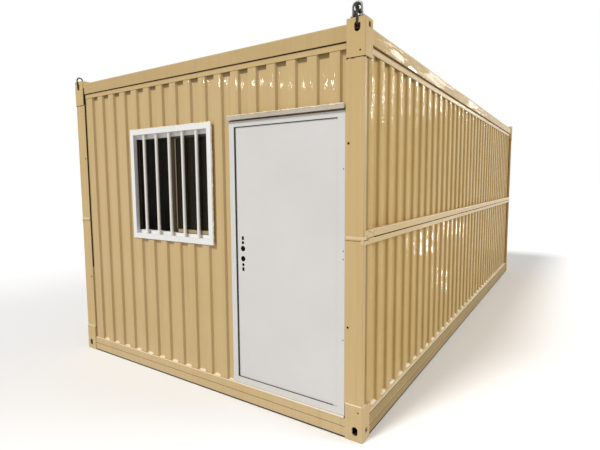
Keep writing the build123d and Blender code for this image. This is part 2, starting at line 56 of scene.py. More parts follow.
# ---- Yard, camera and lamps ----
# The cabin stands on a plain pale floor under an even bright sky, with a soft sun from the
# front left and a broad weak light on the long wall. Small narrow lamps draw glints in the gloss.
camera_place = (2.48966, -5.26038, 1.58707)
camera_turn = 0.574835
camera_dip = 0.094645
camera_roll = 0.0052705
camera_lens = 25.775
camera_shift = (-0.0038, -0.0045)
far_clip = 400.0
sky_fill = 0.40
sky_seen = 1.0
sun_power = 2.28
sun_spread = 14.0
sun_from = (-0.20, -0.66, 0.72)
side_power = 1.58
side_spread = 34.0
side_from = (0.78, 0.44, 0.46)
# Each far lamp: name, direction its light comes from, power, spread in degrees.
glints = (
    ("side_glint", (0.34, 0.91, 0.205), 0.055, 1.5),
    ("side_glint_low", (0.31, 0.94, 0.150), 0.018, 1.2),
    ("rail_glint_near", (0.335, 0.90, 0.275), 0.022, 2.0),
    ("rail_glint_middle", (0.262, 0.941, 0.215), 0.016, 1.8),
    ("rail_glint_far", (0.20, 0.967, 0.155), 0.0045, 1.6),
    ("shoulder_glint", (0.03, 0.94, 0.33), 0.03, 5.0),
    ("corner_glint_high", (0.376, 0.908, 0.187), 0.030, 0.9),
    ("corner_glint_low", (0.372, 0.915, 0.157), 0.025, 0.9),
    ("corner_glint_far", (0.306, 0.936, 0.172), 0.016, 0.9),
    ("end_glint_left", (-0.595, -0.775, 0.214), 0.008, 0.5),
    ("end_glint_wide", (-0.567, -0.795, 0.216), 0.020, 0.8),
    ("end_glint_small", (-0.550, -0.808, 0.213), 0.003, 0.4),
    ("end_glint_middle", (-0.524, -0.824, 0.213), 0.014, 0.7),
    ("end_glint_right", (-0.488, -0.847, 0.213), 0.008, 0.7),
    ("end_glint_edge", (-0.465, -0.854, 0.231), 0.004, 0.6),
)
# Each low lamp: name, place, point it faces, width and height, power, fan in degrees.
low_lamps = (
    ("low_lamp_near", (2.38, 1.12, 0.66), (1.42, -1.66, 1.10), (0.10, 0.26), 0.013, 5.5),
    ("low_lamp_far", (1.85, 1.12, 0.90), (1.42, -0.65, 1.10), (0.06, 0.20), 0.007, 11.0),
    ("low_lamp_foot", (1.79, 0.15, 0.34), (1.42, -1.12, 0.60), (0.03, 0.26), 0.003, 9.0),
)
floor_size = 240.0
floor_bounce = 0.55
floor_seen = 0.93
floor_mottle = 0.004


def put(tree, kind, sockets=None, **settings):
    """Add one shader node, with its settings and its input values or links."""
    made = tree.nodes.new("ShaderNode" + kind)
    for key, value in settings.items():
        setattr(made, key, value)
    for key, value in (sockets or {}).items():
        if isinstance(value, bpy.types.NodeSocket):
            tree.links.new(value, made.inputs[key])
        else:
            made.inputs[key].default_value = value
    return made


def backdrop_rays(tree):
    """Value that is 1 for rays that see the background straight, in a gloss or through glass."""
    rays = put(tree, "LightPath").outputs
    plain = put(tree, "Math", {0: rays["Is Camera Ray"], 1: rays["Is Glossy Ray"]}, operation="MAXIMUM")
    passed = put(tree, "Math", {0: plain.outputs[0], 1: rays["Is Transmission Ray"]}, operation="MAXIMUM")
    return passed.outputs[0]


view = bpy.data.cameras.new("camera")
view.lens = camera_lens
view.sensor_width = 36.0
view.shift_x, view.shift_y = camera_shift
view.clip_end = far_clip
camera = bpy.data.objects.new("camera", view)
scene.collection.objects.link(camera)
camera.matrix_world = (
    Matrix.Translation(camera_place)
    @ Matrix.Rotation(camera_turn, 4, "Z")
    @ Matrix.Rotation(math.pi / 2 - camera_dip, 4, "X")
    @ Matrix.Rotation(-camera_roll, 4, "Z")
)
scene.camera = camera
scene.view_settings.view_transform = "Standard"

sky = bpy.data.worlds.new("sky")
scene.world = sky
sky.use_nodes = True
sky_tree = sky.node_tree
sky_tree.nodes.clear()
fill = put(sky_tree, "Background", {"Color": (1, 1, 1, 1), "Strength": sky_fill})
seen = put(sky_tree, "Background", {"Color": (1, 1, 1, 1), "Strength": sky_seen})
both = put(sky_tree, "MixShader", {0: backdrop_rays(sky_tree), 1: fill.outputs[0], 2: seen.outputs[0]})
put(sky_tree, "OutputWorld", {0: both.outputs[0]})


def sun_lamp(name, comes_from, power, spread):
    """A far lamp whose light comes from a direction, as soft as its spread in degrees."""
    light = bpy.data.lights.new(name, "SUN")
    light.energy = power
    light.angle = math.radians(spread)
    holder = bpy.data.objects.new(name, light)
    holder.matrix_world = Vector(comes_from).to_track_quat("Z", "Y").to_matrix().to_4x4()
    scene.collection.objects.link(holder)


sun_lamp("sun", sun_from, sun_power, sun_spread)
sun_lamp("side_light", side_from, side_power, side_spread)
for name, comes_from, power, spread in glints:
    sun_lamp(name, comes_from, power, spread)
for name, place, aim, size, power, fan in low_lamps:
    low_light = bpy.data.lights.new(name, "AREA")
    low_light.energy = power
    low_light.shape = "RECTANGLE"
    low_light.size, low_light.size_y = size
    low_light.spread = math.radians(fan)
    low_lamp = bpy.data.objects.new(name, low_light)
    facing = (Vector(place) - Vector(aim)).to_track_quat("Z", "Y").to_matrix().to_4x4()
    low_lamp.matrix_world = Matrix.Translation(place) @ facing
    low_lamp.visible_camera = False
    scene.collection.objects.link(low_lamp)

floor_mesh = bpy.data.meshes.new("floor")
floor_sheet = bmesh.new()
bmesh.ops.create_grid(floor_sheet, x_segments=1, y_segments=1, size=floor_size / 2)
floor_sheet.to_mesh(floor_mesh)
floor_sheet.free()
floor = bpy.data.objects.new("floor", floor_mesh)
scene.collection.objects.link(floor)
floor_finish = bpy.data.materials.new("pale_floor")
floor_finish.use_nodes = True
floor_tree = floor_finish.node_tree
floor_tree.nodes.clear()
floor_place = put(floor_tree, "TexCoord").outputs["Object"]
floor_grain = put(floor_tree, "TexNoise", {"Vector": floor_place, "Scale": 1.5, "Detail": 3.0})
floor_tone = put(floor_tree, "MapRange", {
    0: floor_grain.outputs[0], 3: 1 - floor_mottle, 4: 1 + floor_mottle})
floor_part = put(floor_tree, "MapRange", {0: backdrop_rays(floor_tree), 3: floor_bounce, 4: floor_seen})
floor_grey = put(floor_tree, "Math", {
    0: floor_part.outputs[0], 1: floor_tone.outputs[0]}, operation="MULTIPLY")
matt = put(floor_tree, "BsdfDiffuse", {"Color": floor_grey.outputs[0]})
put(floor_tree, "OutputMaterial", {0: matt.outputs[0]})
floor_mesh.materials.append(floor_finish)


# ---- Base frame: rails and joists ----
# Four pressed steel channels are welded between the corner castings, with rectangular tube joists
# across. All of it is sprayed in the same gloss tan paint as the walls, and it gathers road
# dust on its ledges and low faces. The side channels carry a darker tan as painted shade, the
# grooves and undersides near-black strips as painted shade, and the ledges pale strips and dabs
# as painted highlights.
tan = (0.610, 0.445, 0.222, 1)
tan_deep = (0.580, 0.412, 0.190, 1)
road_dust = (0.66, 0.54, 0.36, 1)
rust = (0.13, 0.06, 0.025, 1)


def add_output(group, name, socket, kind="NodeSocketFloat"):
    """A named output of a shader node group, fed by a socket inside it."""
    group.interface.new_socket(name, in_out="OUTPUT", socket_type=kind)
    end = [node for node in group.nodes if node.type == "GROUP_OUTPUT"][0]
    group.links.new(socket, end.inputs[name])


def add_strength(group, name, mask):
    """A named strength that each material sets for itself, times a mask inside the group."""
    group.interface.new_socket(name, in_out="INPUT", socket_type="NodeSocketFloat")
    start = [node for node in group.nodes if node.type == "GROUP_INPUT"][0]
    return put(group, "Math", {0: mask, 1: start.outputs[name]}, operation="MULTIPLY").outputs[0]


# What every painted piece shares: patches, rain runs, low dust, specks and chipped edges.
dust_top = 0.74
dust_full = 0.30
dust_ragged = 0.75
speck_depth = 0.35
edge_rounding = 0.0025
weather = bpy.data.node_groups.new("weather", "ShaderNodeTree")
weather.nodes.new("NodeGroupInput")
weather.nodes.new("NodeGroupOutput")
here = put(weather, "TexCoord").outputs["Object"]
patch = put(weather, "TexNoise", {"Vector": here, "Scale": 1.7, "Detail": 5.0, "Roughness": 0.55})
add_output(weather, "Patch", patch.outputs[0])
run_place = put(weather, "Mapping", {"Vector": here, "Scale": (38.0, 38.0, 0.9)})
run_noise = put(weather, "TexNoise", {
    "Vector": run_place.outputs[0], "Scale": 1.0, "Detail": 4.0, "Roughness": 0.6})
run_mask = put(weather, "MapRange", {0: run_noise.outputs[0], 1: 0.48, 2: 0.78})
add_output(weather, "Rain runs", add_strength(weather, "Dirt", run_mask.outputs[0]))
height_axis = put(weather, "SeparateXYZ", {0: here}).outputs["Z"]
dust_noise = put(weather, "TexNoise", {"Vector": here, "Scale": 9.0, "Detail": 6.0, "Roughness": 0.65})
dust_line = put(weather, "Math", {
    0: dust_noise.outputs[0], 1: dust_ragged, 2: height_axis}, operation="MULTIPLY_ADD")
dust_mask = put(weather, "MapRange", {0: dust_line.outputs[0], 1: dust_top, 2: dust_full})
add_output(weather, "Dust mask", dust_mask.outputs[0])
add_output(weather, "Low dust", add_strength(weather, "Dust", dust_mask.outputs[0]))
speck_noise = put(weather, "TexNoise", {"Vector": here, "Scale": 55.0, "Detail": 2.0})
speck_mask = put(weather, "MapRange", {0: speck_noise.outputs[0], 1: 0.72, 2: 0.78})
speck_shade = put(weather, "Math", {0: speck_mask.outputs[0], 1: speck_depth}, operation="MULTIPLY")
add_output(weather, "Specks", speck_shade.outputs[0])
soft = put(weather, "Bevel", {"Radius": edge_rounding}, samples=4)
flat = put(weather, "NewGeometry")
turned = put(weather, "VectorMath", {
    0: soft.outputs[0], 1: flat.outputs["Normal"]}, operation="DOT_PRODUCT")
edge_mask = put(weather, "MapRange", {0: turned.outputs["Value"], 1: 0.985, 2: 0.80})
edge_noise = put(weather, "TexNoise", {"Vector": here, "Scale": 24.0, "Detail": 5.0, "Roughness": 0.7})
edge_broken = put(weather, "MapRange", {0: edge_noise.outputs[0], 1: 0.50, 2: 0.68})
edge_worn = put(weather, "Math", {
    0: edge_mask.outputs[0], 1: edge_broken.outputs[0]}, operation="MULTIPLY")
add_output(weather, "Bare edges", add_strength(weather, "Wear", edge_worn.outputs[0]))
add_output(weather, "Soft normal", soft.outputs[0], "NodeSocketVector")


grime_shade = 0.70
gloss_range = 0.06
dust_matting = 0.22
peel_scale = 420.0
peel_height = 0.0003
peel_most = 0.25
peel_for_gloss = 3


def painted(name, paint, deep, dust, chip, wear, gloss, wave, waves, dirt=0.35, low_dust=0.30, level=0.15):
    """Paint on steel: faded patches, rain runs, dust low down, chips on edges, an uneven skin.

    paint and deep are its two tones, dust and chip the colours of dust and of bared edges, and wear
    how much of the edges is bare. gloss is the roughness, wave the height of the skin's waves in
    metres at the scales of waves, and dirt, low_dust and level the strength of the rain runs, of
    the dust and of the reflection.
    """
    material = bpy.data.materials.new(name)
    material.use_nodes = True
    tree = material.node_tree
    skin = tree.nodes["Principled BSDF"]
    marks = put(tree, "Group", {"Dirt": dirt, "Dust": low_dust, "Wear": wear}, node_tree=weather).outputs
    place = put(tree, "TexCoord").outputs["Object"]
    tone = put(tree, "MapRange", {0: marks["Patch"], 1: 0.3, 2: 0.7})
    colour = put(tree, "Mix", {0: tone.outputs[0], 6: deep, 7: paint}, data_type="RGBA")
    grime = [channel * grime_shade for channel in deep[:3]] + [1]
    run = put(tree, "Mix", {0: marks["Rain runs"], 6: colour.outputs[2], 7: grime}, data_type="RGBA")
    dusty = put(tree, "Mix", {0: marks["Low dust"], 6: run.outputs[2], 7: dust}, data_type="RGBA")
    spotted = put(tree, "Mix", {0: marks["Specks"], 6: dusty.outputs[2], 7: grime}, data_type="RGBA")
    final = put(tree, "Mix", {0: marks["Bare edges"], 6: spotted.outputs[2], 7: chip}, data_type="RGBA")
    tree.links.new(final.outputs[2], skin.inputs["Base Color"])
    rough = put(tree, "MapRange", {0: marks["Patch"], 1: 0.3, 2: 0.7, 3: gloss, 4: gloss + gloss_range})
    rougher = put(tree, "Math", {
        0: marks["Dust mask"], 1: dust_matting, 2: rough.outputs[0]}, operation="MULTIPLY_ADD")
    tree.links.new(rougher.outputs[0], skin.inputs["Roughness"])
    skin.inputs["Specular IOR Level"].default_value = level
    swell_place = put(tree, "Mapping", {"Vector": place, "Scale": waves})
    swell = put(tree, "TexNoise", {"Vector": swell_place.outputs[0], "Scale": 1.0, "Detail": 2.0})
    peel = put(tree, "TexNoise", {"Vector": place, "Scale": peel_scale, "Detail": 2.0})
    wavy = put(tree, "Bump", {
        "Height": swell.outputs[0], "Normal": marks["Soft normal"], "Distance": wave, "Strength": 1.0})
    fine = put(tree, "Bump", {
        "Height": peel.outputs[0], "Normal": wavy.outputs[0], "Distance": peel_height,
        "Strength": min(peel_most, gloss * peel_for_gloss)})
    tree.links.new(fine.outputs[0], skin.inputs["Normal"])
    return material


def coat(finish, *names):
    """Give nodes of the frame a finish in place of the plain one they came with."""
    for name in names:
        nodes[name].data.materials.clear()
        nodes[name].data.materials.append(finish)


base_paint = painted(
    "base_paint", tan, tan_deep, road_dust, rust,
    wear=0.55, gloss=0.34, wave=0.0010, waves=(3.0, 3.0, 3.0), low_dust=0.28)
coat(base_paint, "base_front_rail", "base_rear_rail", "floor_joists")
# The side channels take a darker tan than the front and rear ones, as painted shade.
base_side_shade_paint = painted(
    "base_side_shade_paint", (0.43, 0.315, 0.150, 1), (0.36, 0.255, 0.110, 1), (0.50, 0.385, 0.21, 1), rust,
    wear=0.60, gloss=0.30, wave=0.0020, waves=(3.0, 2.0, 20.0), low_dust=0.20, level=0.06)
coat(base_side_shade_paint, "base_left_rail", "base_right_rail")
# Pale cream, both for real mastic and for painted highlights on ledges and beads.
mastic_and_highlight = painted(
    "pale_mastic_and_highlight", (0.88, 0.78, 0.58, 1), (0.81, 0.69, 0.47, 1), road_dust, (0.5, 0.42, 0.3, 1),
    wear=0.2, gloss=0.26, wave=0.0015, waves=(45.0, 45.0, 45.0), dirt=0.15, low_dust=0.10, level=0.5)
# Near-black painted shade for the gap under the rails.
underside_shade = painted(
    "underside_shade", (0.030, 0.026, 0.022, 1), (0.018, 0.015, 0.012, 1), (0.10, 0.08, 0.06, 1), rust,
    wear=0.2, gloss=0.65, wave=0.0010, waves=(40.0, 40.0, 40.0), dirt=0.1, low_dust=0.2)
# Dark brown painted shade for grooves, gaps and the lines under ledges.
shade_line = painted(
    "shade_line", (0.20, 0.13, 0.06, 1), (0.12, 0.075, 0.035, 1), (0.30, 0.22, 0.13, 1), rust,
    wear=0.2, gloss=0.55, wave=0.0005, waves=(40.0, 40.0, 40.0), low_dust=0.15)


# The cabin's width and length in millimetres, from the far corner of the frame's box.
cabin_width, cabin_length = [round(2000 * reach, 1) for reach in cad_box[1][:2]]


def at(x, y, z):
    """World point in metres, from millimetres off the left face, the front face and the ground."""
    return Vector(((x - cabin_width / 2) / 1000, (y - cabin_length / 2) / 1000, z / 1000))


def both_sides(*depths):
    """X of the same depths in from the left face, and then from the right face."""
    return depths, tuple(cabin_width - depth for depth in depths)


def both_ends(*depths):
    """Y of the same depths in from the front face, and then from the rear face."""
    return depths, tuple(cabin_length - depth for depth in depths)


merge_reach = 0.00002


def finish_piece(work, name, finishes, body="cabin", slot="tan_paint", crease=32.0):
    """Turn mesh work into one named piece with its finishes, riding on a body of the frame."""
    bmesh.ops.remove_doubles(work, verts=work.verts, dist=merge_reach)
    bmesh.ops.recalc_face_normals(work, faces=work.faces)
    for face in work.faces:
        face.smooth = True
    for edge in work.edges:
        edge.smooth = len(edge.link_faces) == 2 and edge.calc_face_angle(0) < math.radians(crease)
    mesh = bpy.data.meshes.new(name)
    work.to_mesh(mesh)
    work.free()
    for finish in finishes:
        mesh.materials.append(finish)
    made = bpy.data.objects.new(name, mesh)
    scene.collection.objects.link(made)
    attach(made, body)
    return made


def joined(verts, kind):
    """The edges or the faces that meet at some vertices, each once, in the order they are met."""
    return list(dict.fromkeys(item for vert in verts for item in getattr(vert, kind)))


def round_over(work, edges, reach, segments):
    """Round edges over, in the finish of the faces beside them."""
    bmesh.ops.bevel(
        work, geom=edges, offset=reach, segments=segments, profile=0.5, affect="EDGES", material=-1)


def slab(work, one, other, round_edge=0.0, segments=2):
    """Block between two opposite corners, with its edges rounded over."""
    low = Vector(map(min, one, other))
    high = Vector(map(max, one, other))
    made = bmesh.ops.create_cube(
        work, size=1.0, matrix=Matrix.Translation((low + high) / 2) @ Matrix.Diagonal((*(high - low), 1)))
    round_over(work, joined(made["verts"], "link_edges"), round_edge, segments)


def blob(work, middle, reach):
    """Uneven half-sunk ball with different reaches along x, y and z, for weld lumps and for dabs of
    painted highlight.
    """
    lump_depth, lump_grain, variety = 0.25, 1.7, 9.0
    made = bmesh.ops.create_icosphere(work, subdivisions=2, radius=1.0)
    for vert in made["verts"]:
        uneven = 1 + lump_depth * noise.noise(vert.co * lump_grain + middle * variety)
        vert.co = middle + Vector(part * size * uneven / 1000 for part, size in zip(vert.co, reach))


casting_width = 121.0
casting_depth = 104.0
rail_left, rail_right = casting_width, cabin_width - casting_width
rail_front, rail_rear = casting_depth, cabin_length - casting_depth
groove_z = 70.0
end_valley = 270.6
end_pitch = 156.375
end_valleys = [end_valley + count * end_pitch for count in range(16)]
side_valley = 239.95
side_pitch = 167.28
side_valleys = [side_valley + count * side_pitch for count in range(35)]
door_frame_left = 1866.0
# Dark brown strips in the rail grooves and under the side ledges are painted shade.
work = bmesh.new()
for y0, y1 in both_ends(5.7, 10):
    slab(work, at(rail_left, y0, groove_z - 1.3), at(rail_right, y1, groove_z + 1.3), 0.0003, 1)
for x0, x1 in both_sides(7.4, 12):
    for z0, z1 in ((131.5, 136.5), (56, 58.5)):
        slab(work, at(x0, rail_front, z0), at(x1, rail_rear, z1), 0.0003, 1)
finish_piece(work, "base_groove_shade_lines", [shade_line])
# A strip of the lighter base paint along the side grooves is a painted highlight.
work = bmesh.new()
for x0, x1 in both_sides(7.0, 12):
    slab(work, at(x0, rail_front, groove_z - 1.6), at(x1, rail_rear, groove_z + 1.6), 0.0006, 1)
finish_piece(work, "base_side_highlight_bead", [base_paint])
# Near-black strips under the rails are painted shade.
work = bmesh.new()
for y0, y1 in both_ends(5.3, 50):
    slab(work, at(rail_left, y0, 0.5), at(rail_right, y1, 10.5), 0.0010, 1)
for x0, x1 in both_sides(7.3, 50):
    slab(work, at(x0, rail_front, 0.5), at(x1, rail_rear, 10.5), 0.0010, 1)
finish_piece(work, "base_underside_shade", [underside_shade])
# Pale beads along the end rails and under the door frame, and dabs in each rib's hollow, are painted
# highlights.
work = bmesh.new()
slab(work, at(128, 6.6, 121.5), at(2772, 14, 127.5), 0.0018, 2)
slab(work, at(1868, 0.8, 124.5), at(2771, 8.5, 136.5), 0.0022, 2)
for x in end_valleys:
    if x < door_frame_left:
        blob(work, at(x + 4, 33, 125), (41, 15, 11))
    blob(work, at(x, 5967, 125), (41, 15, 11))
finish_piece(work, "end_ledge_highlight", [mastic_and_highlight])
# Pale strips along the side ledges and dabs in each rib's hollow are painted highlights.
work = bmesh.new()
for x0, x1 in both_sides(8.5, 49):
    slab(work, at(x0, 106, 139), at(x1, 5894, 145.5), 0.0020, 2)
for y in side_valleys[:34]:
    for (x,) in both_sides(46):
        blob(work, at(x, y, 142), (19, 54, 20))
finish_piece(work, "side_ledge_highlight", [mastic_and_highlight])


# ---- Corner castings ----
# Eight hollow steel corner boxes with oval holes take the lifting hooks. They are welded to the
# rails and posts. The rough bead at the top joint is near-black brown as painted shade, and the
# bead at the foot pale cream as a painted highlight. Their hollows are near-black as painted
# shade, and their edges lose paint first.
casting_paint = painted(
    "casting_paint", tan, tan_deep, road_dust, rust,
    wear=0.75, gloss=0.36, wave=0.0012, waves=(14.0, 14.0, 14.0), dirt=0.25, level=0.05)
coat(casting_paint, *[name for name in nodes if "casting" in name])


def rod(work, start, end, radius, sides=12, rings=1, rough=0.0):
    """Closed rod between two points, cut into rings, its skin left rough like a weld or a casting."""
    along_limit, skin_grain = 0.9, 90.0
    way = (end - start).normalized()
    already = len(work.verts)
    bmesh.ops.create_cone(
        work, cap_ends=True, segments=sides, radius1=radius, radius2=radius, depth=(end - start).length,
        matrix=Matrix.Translation((start + end) / 2) @ way.to_track_quat("Z", "Y").to_matrix().to_4x4())
    long_edges = [edge for edge in joined(list(work.verts)[already:], "link_edges")
                  if abs((edge.verts[0].co - edge.verts[1].co).normalized().dot(way)) > along_limit]
    bmesh.ops.subdivide_edges(work, edges=long_edges, cuts=rings - 1)
    for vert in list(work.verts)[already:]:
        middle = start + way * (vert.co - start).dot(way)
        vert.co = middle + (vert.co - middle) * (1 + rough * noise.noise(vert.co * skin_grain))


def weld(name, runs, radius, finish, rough=0.5, lumps=()):
    """Rough weld beads along several joints, with lumps where a run stops, as one piece."""
    ring_pitch = 0.006
    work = bmesh.new()
    for middle, reach in lumps:
        blob(work, middle, reach)
    for start, end in runs:
        rings = max(4, int((end - start).length / ring_pitch))
        rod(work, start, end, radius, sides=7, rings=rings, rough=rough)
    finish_piece(work, name, [finish], crease=50.0)


def from_corner(sx, sy):
    """Point maker for one corner of the cabin, with x and y counted inwards from its two faces."""
    def point(x, y, z):
        return at(x if sx > 0 else cabin_width - x, y if sy > 0 else cabin_length - y, z)
    return point


def heads(name, spots, outward, radius, proud, finishes, sides=12, hollow=False, **rest):
    """Round or hexagon heads, or empty holes with a middle in painted shade, at spots on a face."""
    outward = Vector(outward)
    taper, near_top = 0.86, 0.9
    rim, rise = (0.18, -0.7) if hollow else (0.42, 0.35)
    work = bmesh.new()
    turn = outward.to_track_quat("Z", "Y").to_matrix().to_4x4()
    for spot in spots:
        made = bmesh.ops.create_cone(
            work, cap_ends=True, segments=sides, radius1=radius, radius2=radius * taper, depth=proud,
            matrix=Matrix.Translation(spot + outward * proud / 2) @ turn)
        top = [face for face in joined(made["verts"], "link_faces")
               if face.calc_center_median().dot(outward) - spot.dot(outward) > proud * near_top]
        bmesh.ops.inset_region(work, faces=top, thickness=radius * rim, depth=0)
        bmesh.ops.translate(
            work, verts=list(dict.fromkeys(vert for face in top for vert in face.verts)),
            vec=outward * (proud * rise))
        if hollow:
            for face in top:
                face.material_index = 1
    finish_piece(work, name, finishes, **rest)


# Near-black painted shade for hollows, holes and slots.
hole_shade = painted(
    "hole_shade", (0.007, 0.006, 0.005, 1), (0.003, 0.003, 0.003, 1),
    (0.03, 0.025, 0.02, 1), (0.02, 0.015, 0.01, 1),
    wear=0.1, gloss=0.75, wave=0.0005, waves=(40.0, 40.0, 40.0), low_dust=0.05, level=0.02)
# Near-black brown painted shade for the joint under each top casting and between weld lumps.
weld_shade = painted(
    "dark_weld_shade", (0.11, 0.075, 0.04, 1), (0.05, 0.03, 0.018, 1), (0.30, 0.23, 0.14, 1), rust,
    wear=0.2, gloss=0.55, wave=0.002, waves=(60.0, 60.0, 60.0))
weld_radius = 0.0042
top_joint_z = 2284.5
foot_joint_z = 226.0
for end_name, sy in (("front", 1), ("rear", -1)):
    for side_name, sx in (("left", 1), ("right", -1)):
        corner = from_corner(sx, sy)
        weld(f"{end_name}_{side_name}_top_weld_shade", (
            (corner(8, 6.5, top_joint_z), corner(casting_width, 6.5, top_joint_z)),
            (corner(7.5, 8, top_joint_z), corner(7.5, 58, top_joint_z)),
            (corner(56, 6.5, 2286), corner(74, 6.5, 2283)),
            (corner(6.5, 6.5, 2281), corner(13, 6.5, 2287)),
        ), weld_radius, weld_shade, rough=0.9, lumps=(
            (corner(66, 5, 2289), (8, 3, 6)),
            (corner(10, 6, 2284), (8, 4, 7)),
            (corner(5, 36, 2282), (3.5, 14, 7)),
        ))
        # The bead at the foot is pale as a painted highlight.
        weld(f"{end_name}_{side_name}_foot_weld_highlight", (
            (corner(8, 5.4, foot_joint_z), corner(casting_width, 5.4, foot_joint_z)),
            (corner(6, 8, foot_joint_z), corner(6, 58, foot_joint_z)),
        ), weld_radius, mastic_and_highlight, rough=0.4)

# Near-black painted shade lines each hollow: a plate on the inner side, a plate at the back, and
# strips round the hole in the sill or the top. The front, the outer side and every hole stay free.
plate = 1.5
plate_edge = 0.0003
sill_strips = ((10.3, 21, 36, 92), (83, 109, 36, 92), (22, 82, 77, 92))
bottom_front_strip = (10.3, 109, 10.3, 35)
# The hollow of a bottom and of a top casting: foot, head, height of its strips, strips.
hollows = (
    (10.3, 214.7, 10.3, (bottom_front_strip, *sill_strips)),
    (2296.3, 2489.7, 2488.2, sill_strips),
)
work = bmesh.new()
for sx in (1, -1):
    for sy in (1, -1):
        inside = from_corner(sx, sy)
        for low, high, sill, strips in hollows:
            slab(work, inside(109.2, 10.3, low), inside(109.2 + plate, 93.7, high), plate_edge, 1)
            slab(work, inside(10.3, 93.7 - plate, low), inside(109.1, 93.7, high), plate_edge, 1)
            for x0, x1, y0, y1 in strips:
                slab(work, inside(x0, y0, sill), inside(x1, y1, sill + plate), plate_edge, 1)
finish_piece(work, "casting_shade_lining", [hole_shade])
heads("casting_marks", (at(2867, 0, 2319), at(2869, 0, 188)), (0, -1, 0), 0.0065, 0.0008,
      [casting_paint, hole_shade], hollow=True)
heads("casting_side_mark", (at(2899, 77, 105),), (1, 0, 0), 0.0055, 0.0008,
      [casting_paint, hole_shade], hollow=True)


# ---- Corner posts ----
# Each post is a folded steel section in an upper and a lower half. The halves meet in a flanged
# seam at mid-height, where the cabin folds, and each half has a bolt hole near its inner edge.
post_paint = painted(
    "post_paint", tan, tan_deep, road_dust, rust,
    wear=0.45, gloss=0.30, wave=0.0010, waves=(5.0, 5.0, 2.0), dirt=0.30, level=0.06)
coat(post_paint, *[name for name in nodes if name.startswith("post_")])
# A pale tan for painted highlights on seams, rail edges, weld lumps and the long walls' top angles.
pale_highlight_paint = painted(
    "pale_highlight_paint", (0.74, 0.59, 0.36, 1), (0.68, 0.52, 0.29, 1), road_dust, rust,
    wear=0.5, gloss=0.30, wave=0.0010, waves=(20.0, 20.0, 20.0), low_dust=0.0)
# Brown painted shade for the recess between a front post and the first rib.
joint_shade = painted(
    "joint_shade", (0.38, 0.28, 0.13, 1), (0.28, 0.20, 0.095, 1), road_dust, rust,
    wear=0.2, gloss=0.60, wave=0.0008, waves=(30.0, 30.0, 12.0), dirt=0.3, low_dust=0.15, level=0.05)
seam_low = 1244.0
seam_high = 1263.0
post_halves = ((228, 1236), (1262, 2284))
bolt_xs = (105, 2795)
bolt_zs = (1806, 707)
for end_name, sy in (("front", 1), ("rear", -1)):
    for side_name, sx in (("left", 1), ("right", -1)):
        corner = from_corner(sx, sy)
        work = bmesh.new()
        # The seam flange takes the pale paint as a painted highlight.
        slab(work, corner(1.0, 0.2, seam_low), corner(121, 5, seam_high), 0.0024, 3)
        slab(work, corner(0.3, 1, seam_low), corner(5.6, 37, seam_high), 0.0026, 3)
        finish_piece(work, f"{end_name}_{side_name}_fold_flange_highlight", [pale_highlight_paint])
        # A dark line under the seam is painted shade.
        work = bmesh.new()
        slab(work, corner(3, 3.0, seam_low - 4), corner(120, 5, seam_low + 1), 0.0004, 1)
        slab(work, corner(1.2, 4, seam_low - 5), corner(6, 70, seam_low + 1), 0.0004, 1)
        finish_piece(work, f"{end_name}_{side_name}_fold_gap_shade", [shade_line])
# The front strip is painted shade; the rear strip is plain post paint.
for name, inset, y0, y1, finish in (
        ("post_joint_shade", 7, 36.5, 64, joint_shade),
        ("rear_post_joint_strip", 6, 5963.5, 5940, post_paint)):
    work = bmesh.new()
    for x0, x1 in both_sides(inset, 28):
        for z0, z1 in post_halves:
            slab(work, at(x0, y0, z0), at(x1, y1, z1), 0.0010, 1)
    finish_piece(work, name, [finish])
# The middles of the bolt holes are near-black painted shade.
for name, y, way, radius in (
        ("post_bolt_holes", 4, -1, 0.0095), ("rear_post_bolt_holes", 5996, 1, 0.0075)):
    heads(name, [at(x, y, z) for x in bolt_xs for z in bolt_zs], (0, way, 0), radius, 0.0010,
          [post_paint, hole_shade], hollow=True)


# ---- Folding side walls ----
# The long walls are thin sheet, roll-formed with upright ribs and framed by two mid rails at the
# fold, with a slot between them filled with near-black painted shade. The bends are round, and the
# gloss paint shows every wave.
wall_paint = painted(
    "wall_paint", (0.620, 0.437, 0.182, 1), (0.580, 0.395, 0.148, 1), road_dust, rust,
    wear=0.10, gloss=0.055, wave=0.0075, waves=(9.0, 9.0, 9.0), level=0.032)
bend_reach = 0.0088


def rolled(name, source, along, reach=bend_reach, finish=wall_paint, segments=4):
    """The sheet of a node, its sharp bends along a way rolled round, in that node's place."""
    flattest, sharpest = 0.5, 1.4
    work = bmesh.new()
    work.from_mesh(nodes[source].data)
    bmesh.ops.transform(work, matrix=nodes[source].matrix_world, verts=work.verts)
    bmesh.ops.remove_doubles(work, verts=work.verts, dist=merge_reach)
    bmesh.ops.dissolve_limit(work, angle_limit=math.radians(2), verts=work.verts, edges=work.edges)
    bends = [edge for edge in work.edges
             if len(edge.link_faces) == 2
             and abs((edge.verts[0].co - edge.verts[1].co).normalized().dot(Vector(along))) > 0.99
             and flattest < edge.calc_face_angle(0) < sharpest]
    round_over(work, bends, reach, segments)
    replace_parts(finish_piece(work, name, [finish], crease=40.0), source)


for source in ("right_wall_lower", "right_wall_upper", "left_wall_lower", "left_wall_upper"):
    rolled(source + "_sheet", source, (0, 0, 1))
# The mid rails take a lighter tan than the walls, as a painted highlight.
mid_rail_lit_paint = painted(
    "mid_rail_lit_paint", (0.67, 0.505, 0.265, 1), (0.63, 0.465, 0.23, 1), road_dust, rust,
    wear=0.35, gloss=0.22, wave=0.0035, waves=(6.0, 4.0, 9.0), dirt=0.2, level=0.04)
coat(mid_rail_lit_paint, "mid_rails_left", "mid_rails_right")
coat(post_paint, "wall_top_angles")

